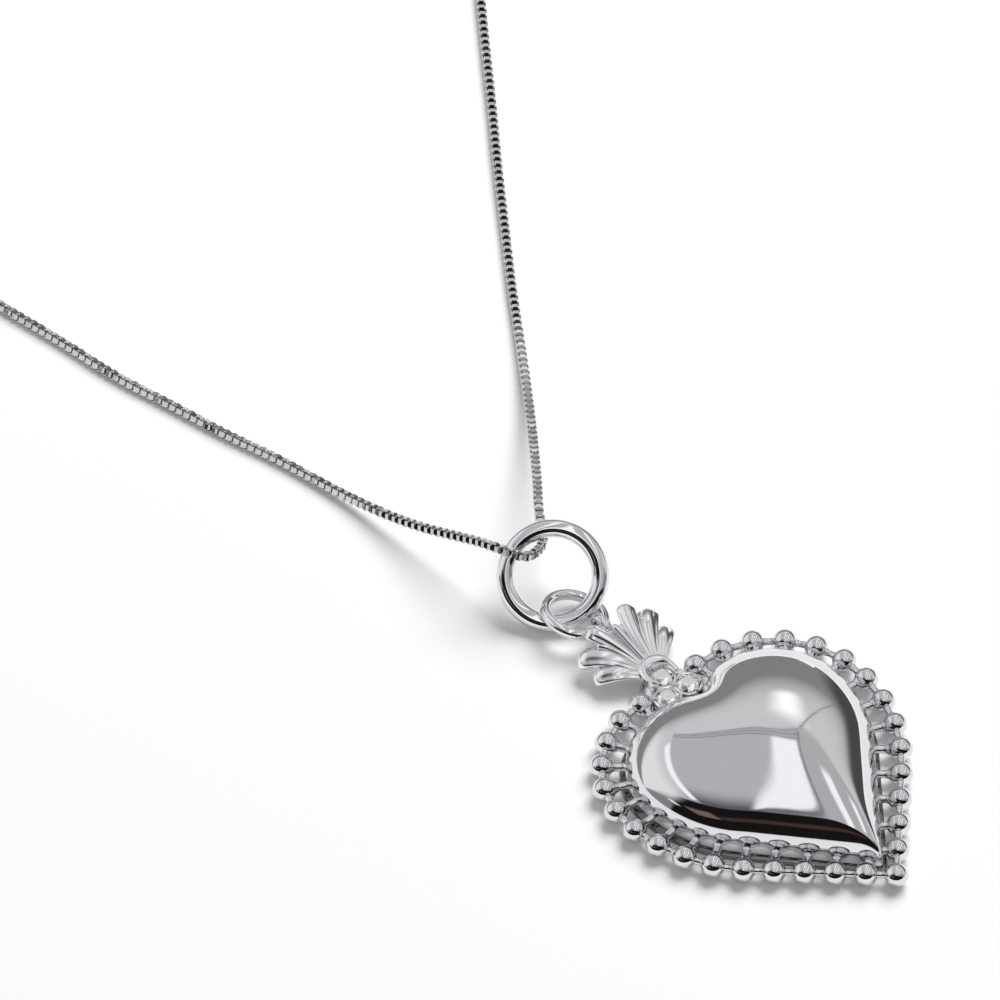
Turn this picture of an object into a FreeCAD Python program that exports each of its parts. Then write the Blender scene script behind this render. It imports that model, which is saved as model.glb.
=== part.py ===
import FreeCAD, Part
import math
import os
from FreeCAD import Vector

# A cast silver sacred heart pendant, lying face up, with its two jump rings and its box chain.
# Millimetres. The heart lies in the XY plane with its flame towards +Y, the table is z = 0.

# How far the centres of both lobes lie from the middle line
LOBE_OFFSET = 3.6

# Bead row: the heart outline through the bead centres
ROW_HALF_WIDTH = 12.65
ROW_FLANK_RADIUS = 14.0
ROW_TIP_REACH = 18.45
ROW_START_ANGLE = 93.0
BEAD_RADIUS = 0.86
BEAD_LIFT = 0.05
BEADS_LEFT = 15
BEADS_RIGHT = 14
NECK_RADIUS = 0.3
STEM_RADIUS = 0.28

# Puffed shell
SHELL_HALF_WIDTH = 10.7
SHELL_NOTCH_RADIUS = 4.8
SHELL_NOTCH_ANGLE = 80.0
SHELL_FLANK_RADIUS = 12.0
SHELL_TIP_REACH = 17.2
SHELL_CENTRE_Y = -2.5
SHELL_HEIGHT = 6.5
SHELL_FOOT = 0.8
SHELL_WALL = 0.9
CROWN_POWER = 2.8
WALL_POWER = 2.1
SHELL_LEVELS = (1.0, 0.975, 0.93, 0.86, 0.76, 0.62, 0.44, 0.24, 0.04)
LEDGE_WIDTH = 0.4
LEDGE_THICKNESS = 0.45

# Stones and their three-cup setting
STONE_RADIUS = 1.0
STONE_TABLE_RADIUS = 0.56
STONE_CROWN = 0.32
STONE_GIRDLE = 0.06
STONE_PAVILION = 0.82
STONE_SIDES = 8
STONE_SPACING = 2.3
STONE_CLEARANCE = 0.03
GIRDLE_HEIGHT = 1.45
CLUSTER_Y = 8.5
CUP_WALL = 0.24
PLATE_RADIUS = 2.9
PRONG_RADIUS = 0.2

# Collar and flame
COLLAR_RADIUS = 1.5
COLLAR_WIRE = 0.5
COLLAR_HEIGHT = 1.9
LOBE_SECTIONS = 5
TONGUE_RADIUS = 0.5
# Root, pull point and tip as (out from the middle, along from the collar, height), then the radii there
FLAME_LOBES = (
    ((0.45, 0.0, 1.45), (0.75, 3.4, 2.6), (1.9, 5.45, 3.02), 0.46, 0.56),
    ((0.75, -0.2, 1.4), (1.9, 2.6, 2.4), (3.75, 4.2, 2.1), 0.46, 0.7),
    ((1.0, -0.5, 1.3), (2.4, 0.9, 2.1), (3.6, 1.95, 1.65), 0.42, 0.68),
)

# Eyelet behind the flame
EYELET_Y = 17.15
EYELET_BORE = 0.95
EYELET_WALL = 0.4
EYELET_WIDTH = 0.8

# Jump rings
SMALL_RING_WIRE = 0.475
SMALL_RING_RADIUS = 2.575
SMALL_RING_TURN = 19.4
SMALL_RING_SLOPE_X = -0.322
SMALL_RING_SLOPE_Y = 0.03
SMALL_RING_DROP = 0.135
LARGE_RING_WIRE = 0.77
LARGE_RING_RADIUS = 3.95
LARGE_RING_ELEVATION = 50.0
LARGE_RING_AZIMUTH = 42.7
LARGE_RING_TURN = -60.0
LINK_REACH = 0.156
LINK_TURN = -3.4
TABLE_GAP = 0.02

# Box chain: width, and the coils that hold the length past the two strands
CHAIN_WIDTH = 0.8
COIL_RADIUS = 4.4
COIL_ROWS = 3
COIL_LAYERS = 2
COIL_CORNER = 0.35
PIECE_GAP = 0.15

# Strands near the large ring as (right, up, forward) from its centre, in its own plane
RING_TOP_POINTS = ((-0.75, 2.72, -0.98), (-0.97, 3.95, -1.62))
RING_LEFT_POINTS = ((-1.5, 1.8, 0.93), (-2.35, 1.55, 1.6), (-3.45, 1.9, 1.75), (-4.75, 2.35, 1.3))
# Strands from there down to the table and along it
TOP_POINTS = (
    (3.13, 28.37, 4.75), (4.91, 30.36, 4.15), (7.29, 33.25, 3.2), (10.39, 37.05, 1.9), (13.28, 40.74, 1.0),
    (16.53, 45.12, 0.5), (20.18, 50.13, 0.42), (23.92, 54.98, 0.42), (28.17, 60.52, 0.42),
    (32.67, 66.14, 0.42), (36.9, 71.6, 0.42), (42.7, 78.9, 0.42),
)
LEFT_POINTS = (
    (-3.25, 28.7, 5.0), (-3.74, 31.37, 3.9), (-4.32, 34.31, 2.7), (-4.89, 37.87, 1.6), (-5.46, 41.68, 0.8),
    (-6.13, 45.62, 0.48), (-6.98, 49.87, 0.42), (-8.34, 54.53, 0.42), (-9.45, 59.84, 0.42),
    (-10.82, 65.25, 0.42), (-11.53, 71.23, 0.42), (-12.5, 76.6, 0.42), (-13.1, 80.9, 0.42),
)

# Plain end pieces of the chain
HOOK_WIRE = 0.35
HOOK_EYE_RADIUS = 0.95
HOOK_SHANK = 6.0
HOOK_BEND_RADIUS = 1.5
HOOK_RETURN = 2.2
END_RING_WIRE = 0.4
END_RING_RADIUS = 1.9


def polar(radius, degrees):
    """A point in the XY plane by radius and angle."""
    return Vector(radius * math.cos(math.radians(degrees)), radius * math.sin(math.radians(degrees)), 0)


def half_outline(half_width, notch_radius, notch_angle, flank_radius, tip_reach):
    """Right half of a heart outline, from the notch to the tip, as triples of points for arcs and a line.

    The lobe arc and the flank arc meet at the widest point, the smaller notch arc continues the lobe
    towards the axis, and the flank ends in the straight line that touches it from the tip."""
    lobe_radius = half_width - LOBE_OFFSET
    lobe_centre = Vector(LOBE_OFFSET, 0, 0)
    notch_centre = lobe_centre + polar(lobe_radius - notch_radius, notch_angle)
    notch_end = math.degrees(math.acos(-notch_centre.x / notch_radius))
    flank_centre = Vector(half_width - flank_radius, 0, 0)
    tip = Vector(0, -tip_reach, 0)
    to_tip = tip - flank_centre
    flank_end = math.degrees(math.atan2(to_tip.y, to_tip.x) + math.acos(flank_radius / to_tip.Length))

    def arc(centre, radius, first, last):
        return [centre + polar(radius, angle) for angle in (first, (first + last) / 2, last)]

    return [
        arc(notch_centre, notch_radius, notch_end, notch_angle),
        arc(lobe_centre, lobe_radius, notch_angle, 0),
        arc(flank_centre, flank_radius, 0, flank_end),
        [flank_centre + polar(flank_radius, flank_end), tip],
    ]


def edge(points):
    """An arc through three points or a line through two."""
    if len(points) == 3:
        return Part.Arc(*points).toShape()
    return Part.LineSegment(*points).toShape()


def heart_wire(half, scale, height):
    """The closed outline of a half and its mirror image, scaled about the shell's centre."""

    def place(point, side):
        return Vector(side * scale * point.x, SHELL_CENTRE_Y + scale * (point.y - SHELL_CENTRE_Y), height)

    right = [edge([place(p, 1) for p in points]) for points in half]
    left = [edge([place(p, -1) for p in reversed(points)]) for points in reversed(half)]
    return Part.Wire(right + left)


def shell_half():
    """Right half of the shell's outline where it meets the ledge."""
    return half_outline(SHELL_HALF_WIDTH, SHELL_NOTCH_RADIUS, SHELL_NOTCH_ANGLE, SHELL_FLANK_RADIUS,
                        SHELL_TIP_REACH)


def puffed_solid(inset):
    """The cushion over the shell's outline, or the hollow inside its wall.

    Above an upright foot, scaled outlines are lofted at heights that follow the crown's profile."""
    base = 1 - inset / SHELL_HALF_WIDTH
    crown = SHELL_HEIGHT - SHELL_FOOT - inset
    wires = []
    for level in SHELL_LEVELS:
        rise = (1 - level ** CROWN_POWER) ** (1 / WALL_POWER)
        wires.append(heart_wire(shell_half(), base * level, SHELL_FOOT + crown * rise))
    foot = Part.Face(heart_wire(shell_half(), base, 0)).extrude(Vector(0, 0, SHELL_FOOT))
    return foot.fuse(Part.makeLoft(wires, True, False))


def row_points(count):
    """Bead centres down the right side, evenly spaced, from the setting to the tip."""
    half = half_outline(ROW_HALF_WIDTH, ROW_HALF_WIDTH - LOBE_OFFSET, ROW_START_ANGLE, ROW_FLANK_RADIUS,
                        ROW_TIP_REACH)
    wire = Part.Wire([edge(points) for points in half[1:]])
    return wire.discretize(Number=count + 1)


def rod(start, end, radius):
    """A round bar between two points."""
    along = end - start
    return Part.makeCylinder(radius, along.Length, start, along)


def bead_row():
    """Beads with the necks that join them and the stems that tie them to the shell.

    Each bead's poles lie in its necks."""
    height = BEAD_RADIUS + BEAD_LIFT
    wall_middle = heart_wire(shell_half(), 1 - SHELL_WALL / 2 / SHELL_HALF_WIDTH, height)
    pieces = []
    for side, count in ((1, BEADS_RIGHT), (-1, BEADS_LEFT)):
        centres = [Vector(side * p.x, p.y, height) for p in row_points(count)]
        for start, end in zip(centres, centres[1:]):
            pieces.append(Part.makeSphere(BEAD_RADIUS, start, end - start))
            pieces.append(rod(start, end, NECK_RADIUS))
            pieces.append(rod(start, wall_middle.distToShape(Part.Vertex(start))[1][0][0], STEM_RADIUS))
    tip = Vector(0, -ROW_TIP_REACH, height)
    pieces.append(Part.makeSphere(BEAD_RADIUS, tip, centres[-2] - tip))
    return pieces


def stone_places():
    """Girdle centres of the three stones: one towards the flame, two beside the notch."""
    ring = STONE_SPACING / math.sqrt(3)
    base = Vector(0, CLUSTER_Y, GIRDLE_HEIGHT)
    return {
        "stone_flame": base + polar(ring, 90),
        "stone_left": base + polar(ring, 210),
        "stone_right": base + polar(ring, 330),
    }


def stone(centre):
    """A single-cut stone: flat table, crown, thin girdle and pointed pavilion."""

    def ring(radius, height):
        points = [centre + polar(radius, 360 * (i + 0.5) / STONE_SIDES) + Vector(0, 0, height)
                  for i in range(STONE_SIDES)]
        return Part.makePolygon(points + points[:1])

    half_girdle = STONE_GIRDLE / 2
    crown = Part.makeLoft([ring(STONE_TABLE_RADIUS, half_girdle + STONE_CROWN),
                           ring(STONE_RADIUS, half_girdle)], True, True)
    girdle = Part.makeLoft([ring(STONE_RADIUS, half_girdle), ring(STONE_RADIUS, -half_girdle)], True, True)
    lower = ring(STONE_RADIUS, -half_girdle)
    apex = Part.Vertex(centre - Vector(0, 0, half_girdle + STONE_PAVILION))
    pavilion = Part.makeLoft([lower, apex], True, True)
    return crown.fuse([girdle, pavilion]).removeSplitter()


def stone_room(centre):
    """The turned recess that a stone drops into."""
    radius = STONE_RADIUS + STONE_CLEARANCE
    depth = STONE_GIRDLE / 2 + STONE_CLEARANCE
    pavilion = STONE_PAVILION * radius / STONE_RADIUS
    profile = [centre + Vector(0, 0, -depth - pavilion), centre + Vector(radius, 0, -depth),
               centre + Vector(radius, 0, 2 * STONE_CROWN), centre + Vector(0, 0, 2 * STONE_CROWN)]
    face = Part.Face(Part.makePolygon(profile + profile[:1]))
    return face.revolve(centre, Vector(0, 0, 1), 360)


def setting():
    """Three fused cups with prongs between and beside the stones."""
    cup_radius = STONE_RADIUS + STONE_CLEARANCE + CUP_WALL
    pieces = []
    for centre in stone_places().values():
        pieces.append(Part.makeCylinder(cup_radius, centre.z, Vector(centre.x, centre.y, 0)))
        outward = Vector(centre.x, centre.y - CLUSTER_Y, 0)
        bearing = math.degrees(math.atan2(outward.y, outward.x))
        for turn in (-60, 60):
            seat = centre + polar(STONE_RADIUS + PRONG_RADIUS, bearing + turn)
            pieces.append(rod(seat - Vector(0, 0, STONE_GIRDLE), seat + Vector(0, 0, PRONG_RADIUS), PRONG_RADIUS))
            pieces.append(Part.makeSphere(PRONG_RADIUS, seat + Vector(0, 0, PRONG_RADIUS)))
    return pieces


def collar():
    """The raised round-topped lip behind the upper stone, where the flame begins."""
    centre = stone_places()["stone_flame"]
    inner = centre + Vector(COLLAR_RADIUS - COLLAR_WIRE, 0, -GIRDLE_HEIGHT)
    outer = inner + Vector(2 * COLLAR_WIRE, 0, 0)
    shoulder = Vector(0, 0, COLLAR_HEIGHT)
    top = inner + shoulder + Vector(COLLAR_WIRE, 0, COLLAR_WIRE)
    profile = Part.Wire([edge([inner, outer]), edge([outer, outer + shoulder]),
                         edge([outer + shoulder, top, inner + shoulder]), edge([inner + shoulder, inner])])
    return [Part.Face(profile).revolve(centre, Vector(0, 0, 1), 180)]


def bezier(start, control, end, t):
    """A point and the direction at t on a quadratic curve."""
    point = start * ((1 - t) ** 2) + control * (2 * t * (1 - t)) + end * (t ** 2)
    direction = (control - start) * (2 * (1 - t)) + (end - control) * (2 * t)
    return point, direction


def flame_lobe(start, control, end, root_radius, tip_radius):
    """One lobe of the flame: a rounded rib that swells towards its tip."""
    wires = []
    for i in range(LOBE_SECTIONS):
        t = i / (LOBE_SECTIONS - 1)
        point, direction = bezier(start, control, end, t)
        radius = root_radius + (tip_radius - root_radius) * t
        wires.append(Part.Wire(Part.Circle(point, direction, radius).toShape()))
    return [Part.makeLoft(wires, True, False), Part.makeSphere(tip_radius, end)]


def flame():
    """Three pairs of lobes, and the tongue between them that carries the eyelet."""
    root = stone_places()["stone_flame"].y + COLLAR_RADIUS
    pieces = []
    for side in (-1, 1):
        for *places, root_radius, tip_radius in FLAME_LOBES:
            start, control, end = [Vector(side * x, root + y, z) for x, y, z in places]
            pieces += flame_lobe(start, control, end, root_radius, tip_radius)
    end = eyelet_centre() + Vector(0, -EYELET_BORE, EYELET_WALL)
    start = Vector(0, root, end.z - EYELET_WALL)
    pieces += flame_lobe(start, (start + end) / 2, end, TONGUE_RADIUS, TONGUE_RADIUS)
    return pieces


def eyelet_centre():
    return Vector(0, EYELET_Y, EYELET_BORE + EYELET_WALL)


def eyelet_rod(radius, width):
    """A bar along the eyelet's bore."""
    centre = eyelet_centre()
    half = Vector(width / 2, 0, 0)
    return rod(centre - half, centre + half, radius)


def heart_casting():
    """The whole casting: shell, ledge, beads, setting, flame and eyelet in one solid."""
    ledge_wire = heart_wire(shell_half(), 1 + LEDGE_WIDTH / SHELL_HALF_WIDTH, 0)
    ledge = Part.Face(ledge_wire).extrude(Vector(0, 0, LEDGE_THICKNESS))
    plate = Part.makeCylinder(PLATE_RADIUS, LEDGE_THICKNESS, Vector(0, CLUSTER_Y, 0))
    eyelet = eyelet_rod(EYELET_BORE + EYELET_WALL, EYELET_WIDTH)
    body = puffed_solid(0)
    for group in ([ledge, plate], bead_row(), setting(), collar(), flame(), [eyelet]):
        body = body.fuse(group)
    rooms = [stone_room(centre) for centre in stone_places().values()]
    for group in ([puffed_solid(SHELL_WALL)], [eyelet_rod(EYELET_BORE, 3 * EYELET_WIDTH)], rooms):
        body = body.cut(group)
    (casting,) = body.Solids
    return casting


def small_ring_frame():
    """Centre and normal of the small ring, which hangs low in the eyelet's bore."""
    normal = Vector(-SMALL_RING_SLOPE_X, -SMALL_RING_SLOPE_Y, 1).normalize()
    outward = polar(1, 90 + SMALL_RING_TURN)
    outward = (outward - normal * outward.dot(normal)).normalize()
    return eyelet_centre() - Vector(0, 0, SMALL_RING_DROP) + outward * SMALL_RING_RADIUS, normal


def large_ring_axes():
    """Right, up and forward of the large ring, whose plane leans back from the table."""
    lean = math.radians(LARGE_RING_ELEVATION)
    turn = math.radians(LARGE_RING_AZIMUTH)
    forward = Vector(-math.sin(turn) * math.cos(lean), -math.cos(turn) * math.cos(lean), math.sin(lean))
    right = Vector(math.cos(turn), -math.sin(turn), 0)
    return right, forward.cross(right), forward


def large_ring_spoke():
    """From the large ring's centre to the point of its wire that lies in the small ring."""
    right, up, forward = large_ring_axes()
    bearing = math.radians(LARGE_RING_TURN)
    return (right * math.cos(bearing) + up * math.sin(bearing)) * LARGE_RING_RADIUS


def large_ring_frame():
    """Centre and normal of the large ring, whose lowest point rests on the table."""
    right, up, forward = large_ring_axes()
    centre = small_ring_frame()[0] + polar(LINK_REACH, LINK_TURN) - large_ring_spoke()
    centre.z = TABLE_GAP + LARGE_RING_WIRE + LARGE_RING_RADIUS * up.z
    return centre, forward


def ring(radius, wire, frame):
    """A closed ring of round wire."""
    return Part.makeTorus(radius, wire, frame[0], frame[1])


def strand_route(ring_points, table_points):
    """Points of one strand, from where the two strands meet in the large ring to its coil."""
    centre = large_ring_frame()[0]
    right, up, forward = large_ring_axes()

    def place(point):
        return centre + right * point[0] + up * point[1] + forward * point[2]

    meeting = (place(RING_TOP_POINTS[0]) + place(RING_LEFT_POINTS[0])) / 2
    return [meeting] + [place(point) for point in ring_points] + [Vector(*point) for point in table_points]


def strand_path(points, name):
    """Straight runs joined by tangent arcs, each as large as the two runs beside it allow."""
    edges = []
    radii = []
    start = points[0]
    for before, corner, after in zip(points, points[1:], points[2:]):
        reach = 0.45 * min((before - corner).Length, (after - corner).Length)
        back = (before - corner).normalize()
        ahead = (after - corner).normalize()
        half_turn = (math.pi - back.getAngle(ahead)) / 2
        radius = reach / math.tan(half_turn)
        inward = (back + ahead).normalize()
        nearest = corner + inward * (radius / math.cos(half_turn) - radius)
        edges.append(edge([start, corner + back * reach]))
        edges.append(edge([corner + back * reach, nearest, corner + ahead * reach]))
        start = corner + ahead * reach
        radii.append(radius)
    edges.append(edge([start, points[-1]]))
    print(name, "arc radii", [round(radius, 2) for radius in radii])
    return Part.Wire(edges)


def strand(points, name):
    """A plain round tube along one strand of the chain."""
    path = strand_path(points, name)
    section = Part.Circle(points[0], points[1] - points[0], CHAIN_WIDTH / 2)
    tube = path.makePipeShell([Part.Wire(section.toShape())], True, False)
    expected = math.pi * CHAIN_WIDTH ** 2 / 4 * path.Length
    print(name, "length", round(path.Length, 2), "volume", round(tube.Volume, 3), "of", round(expected, 3))
    return tube


def coil_reach():
    """Half the width of the coiled bundle."""
    return COIL_ROWS * CHAIN_WIDTH / 2


def coil_place(points, side):
    """Centre of the coil that a strand runs into, to the left (1) or right (-1) of its last run."""
    ahead = (points[-1] - points[-2]).normalize()
    turn = COIL_RADIUS + coil_reach() - CHAIN_WIDTH / 2
    clear = COIL_RADIUS + coil_reach() + CHAIN_WIDTH / 2 + PIECE_GAP
    lead = math.sqrt(clear ** 2 - turn ** 2)
    centre = points[-1] + ahead * lead + Vector(-ahead.y, ahead.x, 0) * (side * turn)
    return Vector(centre.x, centre.y, 0), Vector(-ahead.y, ahead.x, 0) * side


def coil(centre):
    """The outer shape of a tied coil of chain, lying flat."""
    height = COIL_LAYERS * CHAIN_WIDTH
    outer = Part.makeCylinder(COIL_RADIUS + coil_reach(), height, centre)
    inner = Part.makeCylinder(COIL_RADIUS - coil_reach(), height, centre)
    ring_solid = outer.cut(inner)
    rims = [rim for rim in ring_solid.Edges if isinstance(rim.Curve, Part.Circle)]
    return ring_solid.makeFillet(COIL_CORNER, rims)


def clasp_hook(coil_centre, outward):
    """A one-piece wire hook, its eye beside the coil."""
    eye = coil_centre + outward * (COIL_RADIUS + coil_reach() + PIECE_GAP + HOOK_EYE_RADIUS + HOOK_WIRE)
    eye.z = HOOK_WIRE
    across = Vector(-outward.y, outward.x, 0)
    shank_start = eye + outward * HOOK_EYE_RADIUS
    shank_end = shank_start + outward * HOOK_SHANK
    far_side = shank_end + across * (2 * HOOK_BEND_RADIUS)
    bend_top = shank_end + (across + outward) * HOOK_BEND_RADIUS
    point = far_side - outward * HOOK_RETURN
    path = Part.Wire([edge([shank_start, shank_end]), edge([shank_end, bend_top, far_side]),
                      edge([far_side, point])])
    section = Part.Wire(Part.Circle(shank_start, outward, HOOK_WIRE).toShape())
    wire = path.makePipeShell([section], True, False)
    loop = Part.makeTorus(HOOK_EYE_RADIUS, HOOK_WIRE, eye, Vector(0, 0, 1))
    (hook,) = wire.fuse([loop, Part.makeSphere(HOOK_WIRE, point)]).Solids
    return hook


def end_ring(coil_centre, outward):
    """The plain ring at the other end of the chain, that the hook would go into."""
    reach = COIL_RADIUS + coil_reach() + PIECE_GAP + END_RING_RADIUS + END_RING_WIRE
    centre = coil_centre + outward * reach + Vector(0, 0, END_RING_WIRE)
    return ring(END_RING_RADIUS, END_RING_WIRE, (centre, Vector(0, 0, 1)))


def shift_to_middle():
    """How far the model moves along Y so that heart and rings are centred on the origin."""
    centre, normal = large_ring_frame()
    far = centre.y + LARGE_RING_RADIUS * math.sqrt(1 - normal.y ** 2) + LARGE_RING_WIRE
    near = -ROW_TIP_REACH - BEAD_RADIUS
    return Vector(0, -(far + near) / 2, 0)


def write(name, shape):
    shape = shape.copy()
    shape.translate(shift_to_middle())
    shape.exportStep(f"parts/{name}.step")


def main():
    os.makedirs("parts", exist_ok=True)
    write("heart_casting", heart_casting())
    for name, centre in stone_places().items():
        write(name, stone(centre))
    write("small_jump_ring", ring(SMALL_RING_RADIUS, SMALL_RING_WIRE, small_ring_frame()))
    write("large_jump_ring", ring(LARGE_RING_RADIUS, LARGE_RING_WIRE, large_ring_frame()))
    top = strand_route(RING_TOP_POINTS, TOP_POINTS)
    left = strand_route(RING_LEFT_POINTS, LEFT_POINTS)
    write("chain_top_run", strand(top, "chain_top_run"))
    write("chain_left_run", strand(left, "chain_left_run"))
    top_coil, top_outward = coil_place(top, 1)
    left_coil, left_outward = coil_place(left, 1)
    write("chain_top_coil", coil(top_coil))
    write("chain_left_coil", coil(left_coil))
    write("end_ring", end_ring(top_coil, top_outward))
    write("clasp_hook", clasp_hook(left_coil, left_outward))


main()
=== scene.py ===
import math

import bmesh
import bpy
import numpy as np
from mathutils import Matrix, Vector

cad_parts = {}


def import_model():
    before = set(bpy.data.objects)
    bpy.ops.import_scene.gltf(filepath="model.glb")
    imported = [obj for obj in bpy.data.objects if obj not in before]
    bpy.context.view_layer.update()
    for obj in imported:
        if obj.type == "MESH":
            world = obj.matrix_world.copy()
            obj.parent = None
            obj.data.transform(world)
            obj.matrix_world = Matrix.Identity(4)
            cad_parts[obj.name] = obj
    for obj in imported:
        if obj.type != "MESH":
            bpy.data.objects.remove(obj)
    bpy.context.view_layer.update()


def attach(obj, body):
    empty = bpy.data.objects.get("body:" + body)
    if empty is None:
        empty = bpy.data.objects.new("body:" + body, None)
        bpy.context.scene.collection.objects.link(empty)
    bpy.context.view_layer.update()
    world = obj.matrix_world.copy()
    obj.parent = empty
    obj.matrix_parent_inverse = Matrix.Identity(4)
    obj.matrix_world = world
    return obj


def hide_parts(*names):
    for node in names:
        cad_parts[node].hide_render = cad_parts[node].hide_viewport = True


# A polished silver sacred heart pendant on a box chain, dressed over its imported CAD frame.
# Lengths below are millimetres; every mesh is scaled to metres when it is made.
MM = 0.001

# Bodies of the part's model
HEART = "heart"
SMALL_RING = "small_ring"
ROOT = "chain_and_ring"

# Where the part's own drawing sits in the frame: the heart's plan is drawn about its widest line
SHIFT_Y = -3.8935

# Camera: the photograph is taken from far away
VIEW_ELEVATION = 50.0
VIEW_AZIMUTH = -42.67
VIEW_TARGET = (3.95, 30.03, 0.0)
VIEW_DISTANCE = 4000.0
VIEW_WIDTH = 83.33
SENSOR = 36.0

# How far the centres of both lobes lie from the middle line
LOBE_OFFSET = 3.6

# Puffed shell
SHELL_HALF_WIDTH = 10.7
SHELL_NOTCH_RADIUS = 4.8
SHELL_NOTCH_ANGLE = 80.0
SHELL_FLANK_RADIUS = 12.0
SHELL_TIP_REACH = 17.2
SHELL_CENTRE_Y = -2.5
SHELL_HEIGHT = 6.5
SHELL_FOOT = 0.8
SHELL_WALL = 0.9
# Profile: height falls with the crown power of the way out, and stands up at the rim by the wall power
CROWN_POWER = 2.3
WALL_POWER = 2.4
# How far the outline's corners are rounded at the rim, and how much more at the crown
CORNER_SOFT = 0.22
CREASE_FADE = 8.0
LEDGE_WIDTH = 0.4
LEDGE_HEIGHT = 0.45

# Bead row
ROW_HALF_WIDTH = 12.65
ROW_START_ANGLE = 93.0
ROW_FLANK_RADIUS = 14.8
ROW_TIP_REACH = 18.75
BEAD_RADIUS = 1.03
BEAD_HEIGHT = 1.05
BEADS_LEFT = 15
BEADS_RIGHT = 14
NECK_RADIUS = 0.3
STEM_RADIUS = 0.36

# Stones and setting
STONE_RADIUS = 1.0
STONE_TABLE = 0.56
STONE_CROWN = 0.32
# Radius and height of the kites' middle corners, and of the lower halves' above the point
STONE_KITE = (0.79, 0.185)
STONE_GIRDLE = 0.06
STONE_LOWER = (0.30, 0.60)
STONE_PAVILION = 0.82
STONE_SPACING = 2.3
GIRDLE_HEIGHT = 1.45
CLUSTER_Y = 8.5
CUP_WALL = 0.24
PRONG_RADIUS = 0.15
PRONG_TURNS = (-60, 60, 0, 180)
PLATE_RADIUS = 2.9
PLATE_BORE = 0.4
PLATE_HEIGHT = 0.45

# Collar and flame
COLLAR_INNER = 1.06
COLLAR_WIRE = 0.2
COLLAR_BULGE = 0.62
COLLAR_HEIGHT = 2.25
COLLAR_ENDS = (-28, 208)
FLAME_ROOT = 1.5
# Leaves of one side: start, control and end point, radius at the root and the tip, curl in degrees
FLAME_LEAVES = (
    ((0.4, -0.2, 1.55), (0.9, 3.2, 2.6), (1.8, 4.8, 2.95), 0.36, 0.7, 110),
    ((0.7, -0.35, 1.5), (1.9, 2.5, 2.5), (3.35, 3.85, 1.85), 0.36, 0.9, 125),
    ((0.9, -0.6, 1.4), (2.3, 0.9, 2.1), (3.45, 1.95, 1.35), 0.36, 0.84, 125),
)
LEAF_STEPS = 36
LEAF_WIDE = 1.12
LEAF_FLAT = 0.72
LEAF_CURL = 0.62
FLUTES = 4
FLUTE_DEPTH = 0.11
RIB_REACH = 0.62
RIB_LIFT = 0.06
RIB_RADII = (0.24, 0.3)
WEB_REACH = 0.75
WEB_DROP = 0.35
WEB_DISH = 0.75
WEB_THICKNESS = 0.45
TONGUE_RADII = (0.5, 0.36)

# Eyelet and rings
EYELET_Y = 17.15
EYELET_BORE = 0.95
EYELET_WALL = 0.4
EYELET_WIDTH = 0.8
SMALL_RING_CENTRE = (-0.7601, 15.6961, 1.5329)
SMALL_RING_NORMAL = (0.3064, -0.0285, 0.9515)
SMALL_RING_RADIUS = 2.575
SMALL_RING_WIRE = 0.475
LARGE_RING_CENTRE = (-0.2787, 18.9520, 3.3290)
LARGE_RING_NORMAL = (-0.4359, -0.4724, 0.7660)
LARGE_RING_RADIUS = 3.95
LARGE_RING_WIRE = 0.77

# Box chain
CHAIN_WIDTH = 0.8
CHAIN_LENGTH = 225.0
LINK_PITCH = 0.36
LINK_LENGTH = 0.66
LINK_BAND = 0.5
LINK_THICKNESS = 0.13
LINK_CHAMFER = 0.13
LINK_EDGE = 0.035
# Uneven turn of the links, in radians
LINK_PLAY = 0.035
LINK_SEED = 7
CORE_RADIUS = 0.2
TOP_ROUTE = (
    (0.08, 21.0, 4.76), (1.01, 21.45, 4.33), (1.77, 22.6, 4.63), (3.13, 24.48, 4.75), (4.91, 26.47, 4.15),
    (7.29, 29.36, 3.2), (10.39, 33.16, 1.9), (13.28, 36.85, 1.0), (16.53, 41.23, 0.5), (20.18, 46.24, 0.42),
    (23.92, 51.09, 0.42), (28.17, 56.63, 0.42), (32.67, 62.25, 0.42), (36.9, 67.71, 0.42),
    (42.7, 75.01, 0.42),
)
LEFT_ROUTE = (
    (0.08, 21.0, 4.76), (-0.85, 20.54, 5.2), (-1.9, 20.66, 5.55), (-2.59, 21.53, 5.89), (-3.12, 22.88, 5.84),
    (-3.25, 24.81, 5.0), (-3.74, 27.48, 3.9), (-4.32, 30.42, 2.7), (-4.89, 33.98, 1.6), (-5.46, 37.79, 0.8),
    (-6.13, 41.73, 0.48), (-6.98, 45.98, 0.42), (-8.34, 50.64, 0.42), (-9.45, 55.95, 0.42),
    (-10.82, 61.36, 0.42), (-11.53, 67.34, 0.42), (-12.5, 72.71, 0.42), (-13.1, 77.01, 0.42),
)
TOP_COIL = ((40.671, 80.812), (-0.783, 0.6221))
LEFT_COIL = ((-18.704, 79.54), (-0.9904, -0.1382))
COIL_RADII = (5.2, 4.4, 3.6, 3.6, 4.4, 5.2)
COIL_HEIGHTS = (0.42, 0.42, 0.42, 1.2, 1.2, 1.2)
# Points a turn, and the share of a turn on each side over which the chain moves to the next one
COIL_POINTS = 24
COIL_SHIFT = 0.12
COIL_MIDDLE = 4.4
COIL_HALF_WIDTH = 1.2
COIL_MID_HEIGHT = 0.81
COIL_EXIT = 0.42
COIL_MOST_TURNS = 5.42
COIL_TO_FITTING = 4.8
PIECE_GAP = 0.15
TIE_TURNS = (75, -105)
TIE_OFFSETS = (-0.17, 0.0, 0.17)
TIE_WIRE = 0.075
TIE_HALF_WIDTH = 1.27
TIE_HALF_HEIGHT = 0.73
TIE_SQUARENESS = 0.45
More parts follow.
